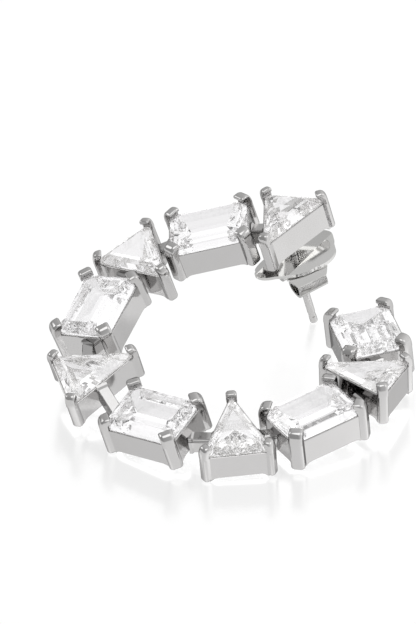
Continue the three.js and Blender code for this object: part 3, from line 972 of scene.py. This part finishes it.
def crease_drop(point):
    """How far the plate is bent down here: its two long sides slope away beyond a crease."""
    return CREASE_SLOPE * max(abs(point.dot(CREASE_ACROSS)) - CREASE_AT, 0)


def clutch_disc():
    """The lobed plate with its rolled rim and the hole for the post."""
    bm = bmesh.new()
    bmesh.ops.create_circle(bm, cap_ends=True, segments=CLUTCH_SIDES, radius=1)
    for vert in bm.verts:
        angle = atan2(vert.co.y, vert.co.x)
        lobed = 1 - LOBE_DEPTH * (1 - abs(cos(LOBES / 2 * (angle - radians(LOBE_TURN)))))
        vert.co = Vector((CLUTCH_LENGTH / 2 * lobed * cos(angle), CLUTCH_WIDTH / 2 * lobed * sin(angle), 0))
    middle = bm.faces[:]
    for inset, depth in RIM_STEPS:
        bmesh.ops.inset_region(bm, faces=middle, thickness=inset, depth=depth, use_even_offset=True)
    centre = middle[0]
    inner = list(centre.edges)
    hole = bmesh.ops.create_circle(bm, cap_ends=False, segments=CLUTCH_SIDES, radius=CLUTCH_HOLE)["verts"]
    level = centre.verts[0].co.z
    for vert in hole:
        vert.co.z = level
    round_hole = list({e for v in hole for e in v.link_edges})
    bmesh.ops.delete(bm, geom=[centre], context="FACES_ONLY")
    bmesh.ops.bridge_loops(bm, edges=inner + round_hole)
    bmesh.ops.recalc_face_normals(bm, faces=bm.faces)
    bm.faces.ensure_lookup_table()
    if bm.faces[0].normal.z < 0:
        bmesh.ops.reverse_faces(bm, faces=bm.faces)
    for side in (1, -1):
        everything = bm.verts[:] + bm.edges[:] + bm.faces[:]
        at = CREASE_ACROSS * CREASE_AT * side
        bmesh.ops.bisect_plane(bm, geom=everything, plane_co=at, plane_no=CREASE_ACROSS)
    for vert in bm.verts:
        vert.co.z -= crease_drop(vert.co)
    bmesh.ops.solidify(bm, geom=bm.faces[:], thickness=CLUTCH_THICK)
    return bm


# %% Clutch wings
WING_THICK, WING_ROOT, WING_TIP, WING_BEND = 0.3, 2.4, 1.68, 0.5
WING_START, WING_INSET = -0.6, 0.15
SCROLL_ACROSS, SCROLL_DOWN, SCROLL_WIDE, SCROLL_TALL, SCROLL_TURN = 2.0, -2.8, 1.35, 0.85, 1.55
WING_STEPS, SCROLL_STEPS = 14, 40


def wing_line():
    """The middle line of a wing: out from under the plate, down, round and up into the scroll."""
    start = Vector((0, CLUTCH_WIDTH / 2 - WING_BEND - WING_INSET, WING_START))
    outside = Vector((0, SCROLL_ACROSS + SCROLL_WIDE, SCROLL_DOWN))
    over = Vector((0, outside.y - WING_INSET, start.z))
    down = Vector((0, outside.y + WING_BEND / 2, SCROLL_DOWN + 2 * WING_BEND))
    points = []
    for step in range(WING_STEPS):
        t = step / WING_STEPS
        s = 1 - t
        points.append(start * s**3 + over * (3 * s * s * t) + down * (3 * s * t * t) + outside * t**3)
    for step in range(SCROLL_STEPS + 1):
        angle = -pi * SCROLL_TURN * step / SCROLL_STEPS
        across = SCROLL_ACROSS + SCROLL_WIDE * cos(angle)
        points.append(Vector((0, across, SCROLL_DOWN + SCROLL_TALL * sin(angle))))
    return points


def wing_half_width(point):
    """Half the strip's width at this height: the wing narrows from the plate to the scroll."""
    share = min(max((point.z - WING_START) / (SCROLL_DOWN + SCROLL_TALL - WING_START), 0), 1)
    return WING_ROOT + (WING_TIP - WING_ROOT) * sqrt(share)


def clutch_wing(side):
    """One wing as a strip of the sheet's thickness."""
    bm = bmesh.new()
    points = wing_line()
    across = [bm.verts.new((end * wing_half_width(points[0]), *points[0][1:])) for end in (-1, 1)]
    edge = bm.edges.new(across)
    for point in points[1:]:
        grown = bmesh.ops.extrude_edge_only(bm, edges=[edge])["geom"]
        edge = [part for part in grown if isinstance(part, bmesh.types.BMEdge)][0]
        for vert in edge.verts:
            vert.co = Vector((wing_half_width(point) * (1 if vert.co.x > 0 else -1), *point[1:]))
    for vert in bm.verts:
        share = (vert.co.z - SCROLL_DOWN - SCROLL_TALL) / (WING_START - SCROLL_DOWN - SCROLL_TALL)
        vert.co.z -= crease_drop(vert.co) * min(max(share, 0), 1)
    bmesh.ops.recalc_face_normals(bm, faces=bm.faces)
    bmesh.ops.solidify(bm, geom=bm.faces[:], thickness=WING_THICK)
    if side < 0:
        bmesh.ops.rotate(bm, cent=(0, 0, 0), matrix=Matrix.Rotation(pi, 3, "Z"), verts=bm.verts)
    bmesh.ops.recalc_face_normals(bm, faces=bm.faces)
    return bm


# %% Clutch
clutch_shell = merge([clutch_disc(), clutch_wing(1), clutch_wing(-1)], "clutch")
on_clutch = on_post @ Matrix.Translation((0, 0, CLUTCH_AT)) @ turned("Z", CLUTCH_TURN)
clutch_sheet = to_object(clutch_shell, "clutch_sheet", on_clutch, clutch_plate)
finish_piece(clutch_sheet, "clutch", "clutch_metal", "butterfly_clutch")
print("clutch faces:", len(clutch_sheet.data.polygons))

# %% [markdown]
# ## Sizes
# The imported model fixes the earring's size, so both boxes are written down to be compared.

# %% Sizes
made_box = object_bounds()
for name, box in (("cad", cad_box), ("visual", made_box)):
    print(name, "box in mm:", [[round(float(v) / MM, 3) for v in corner] for corner in box])
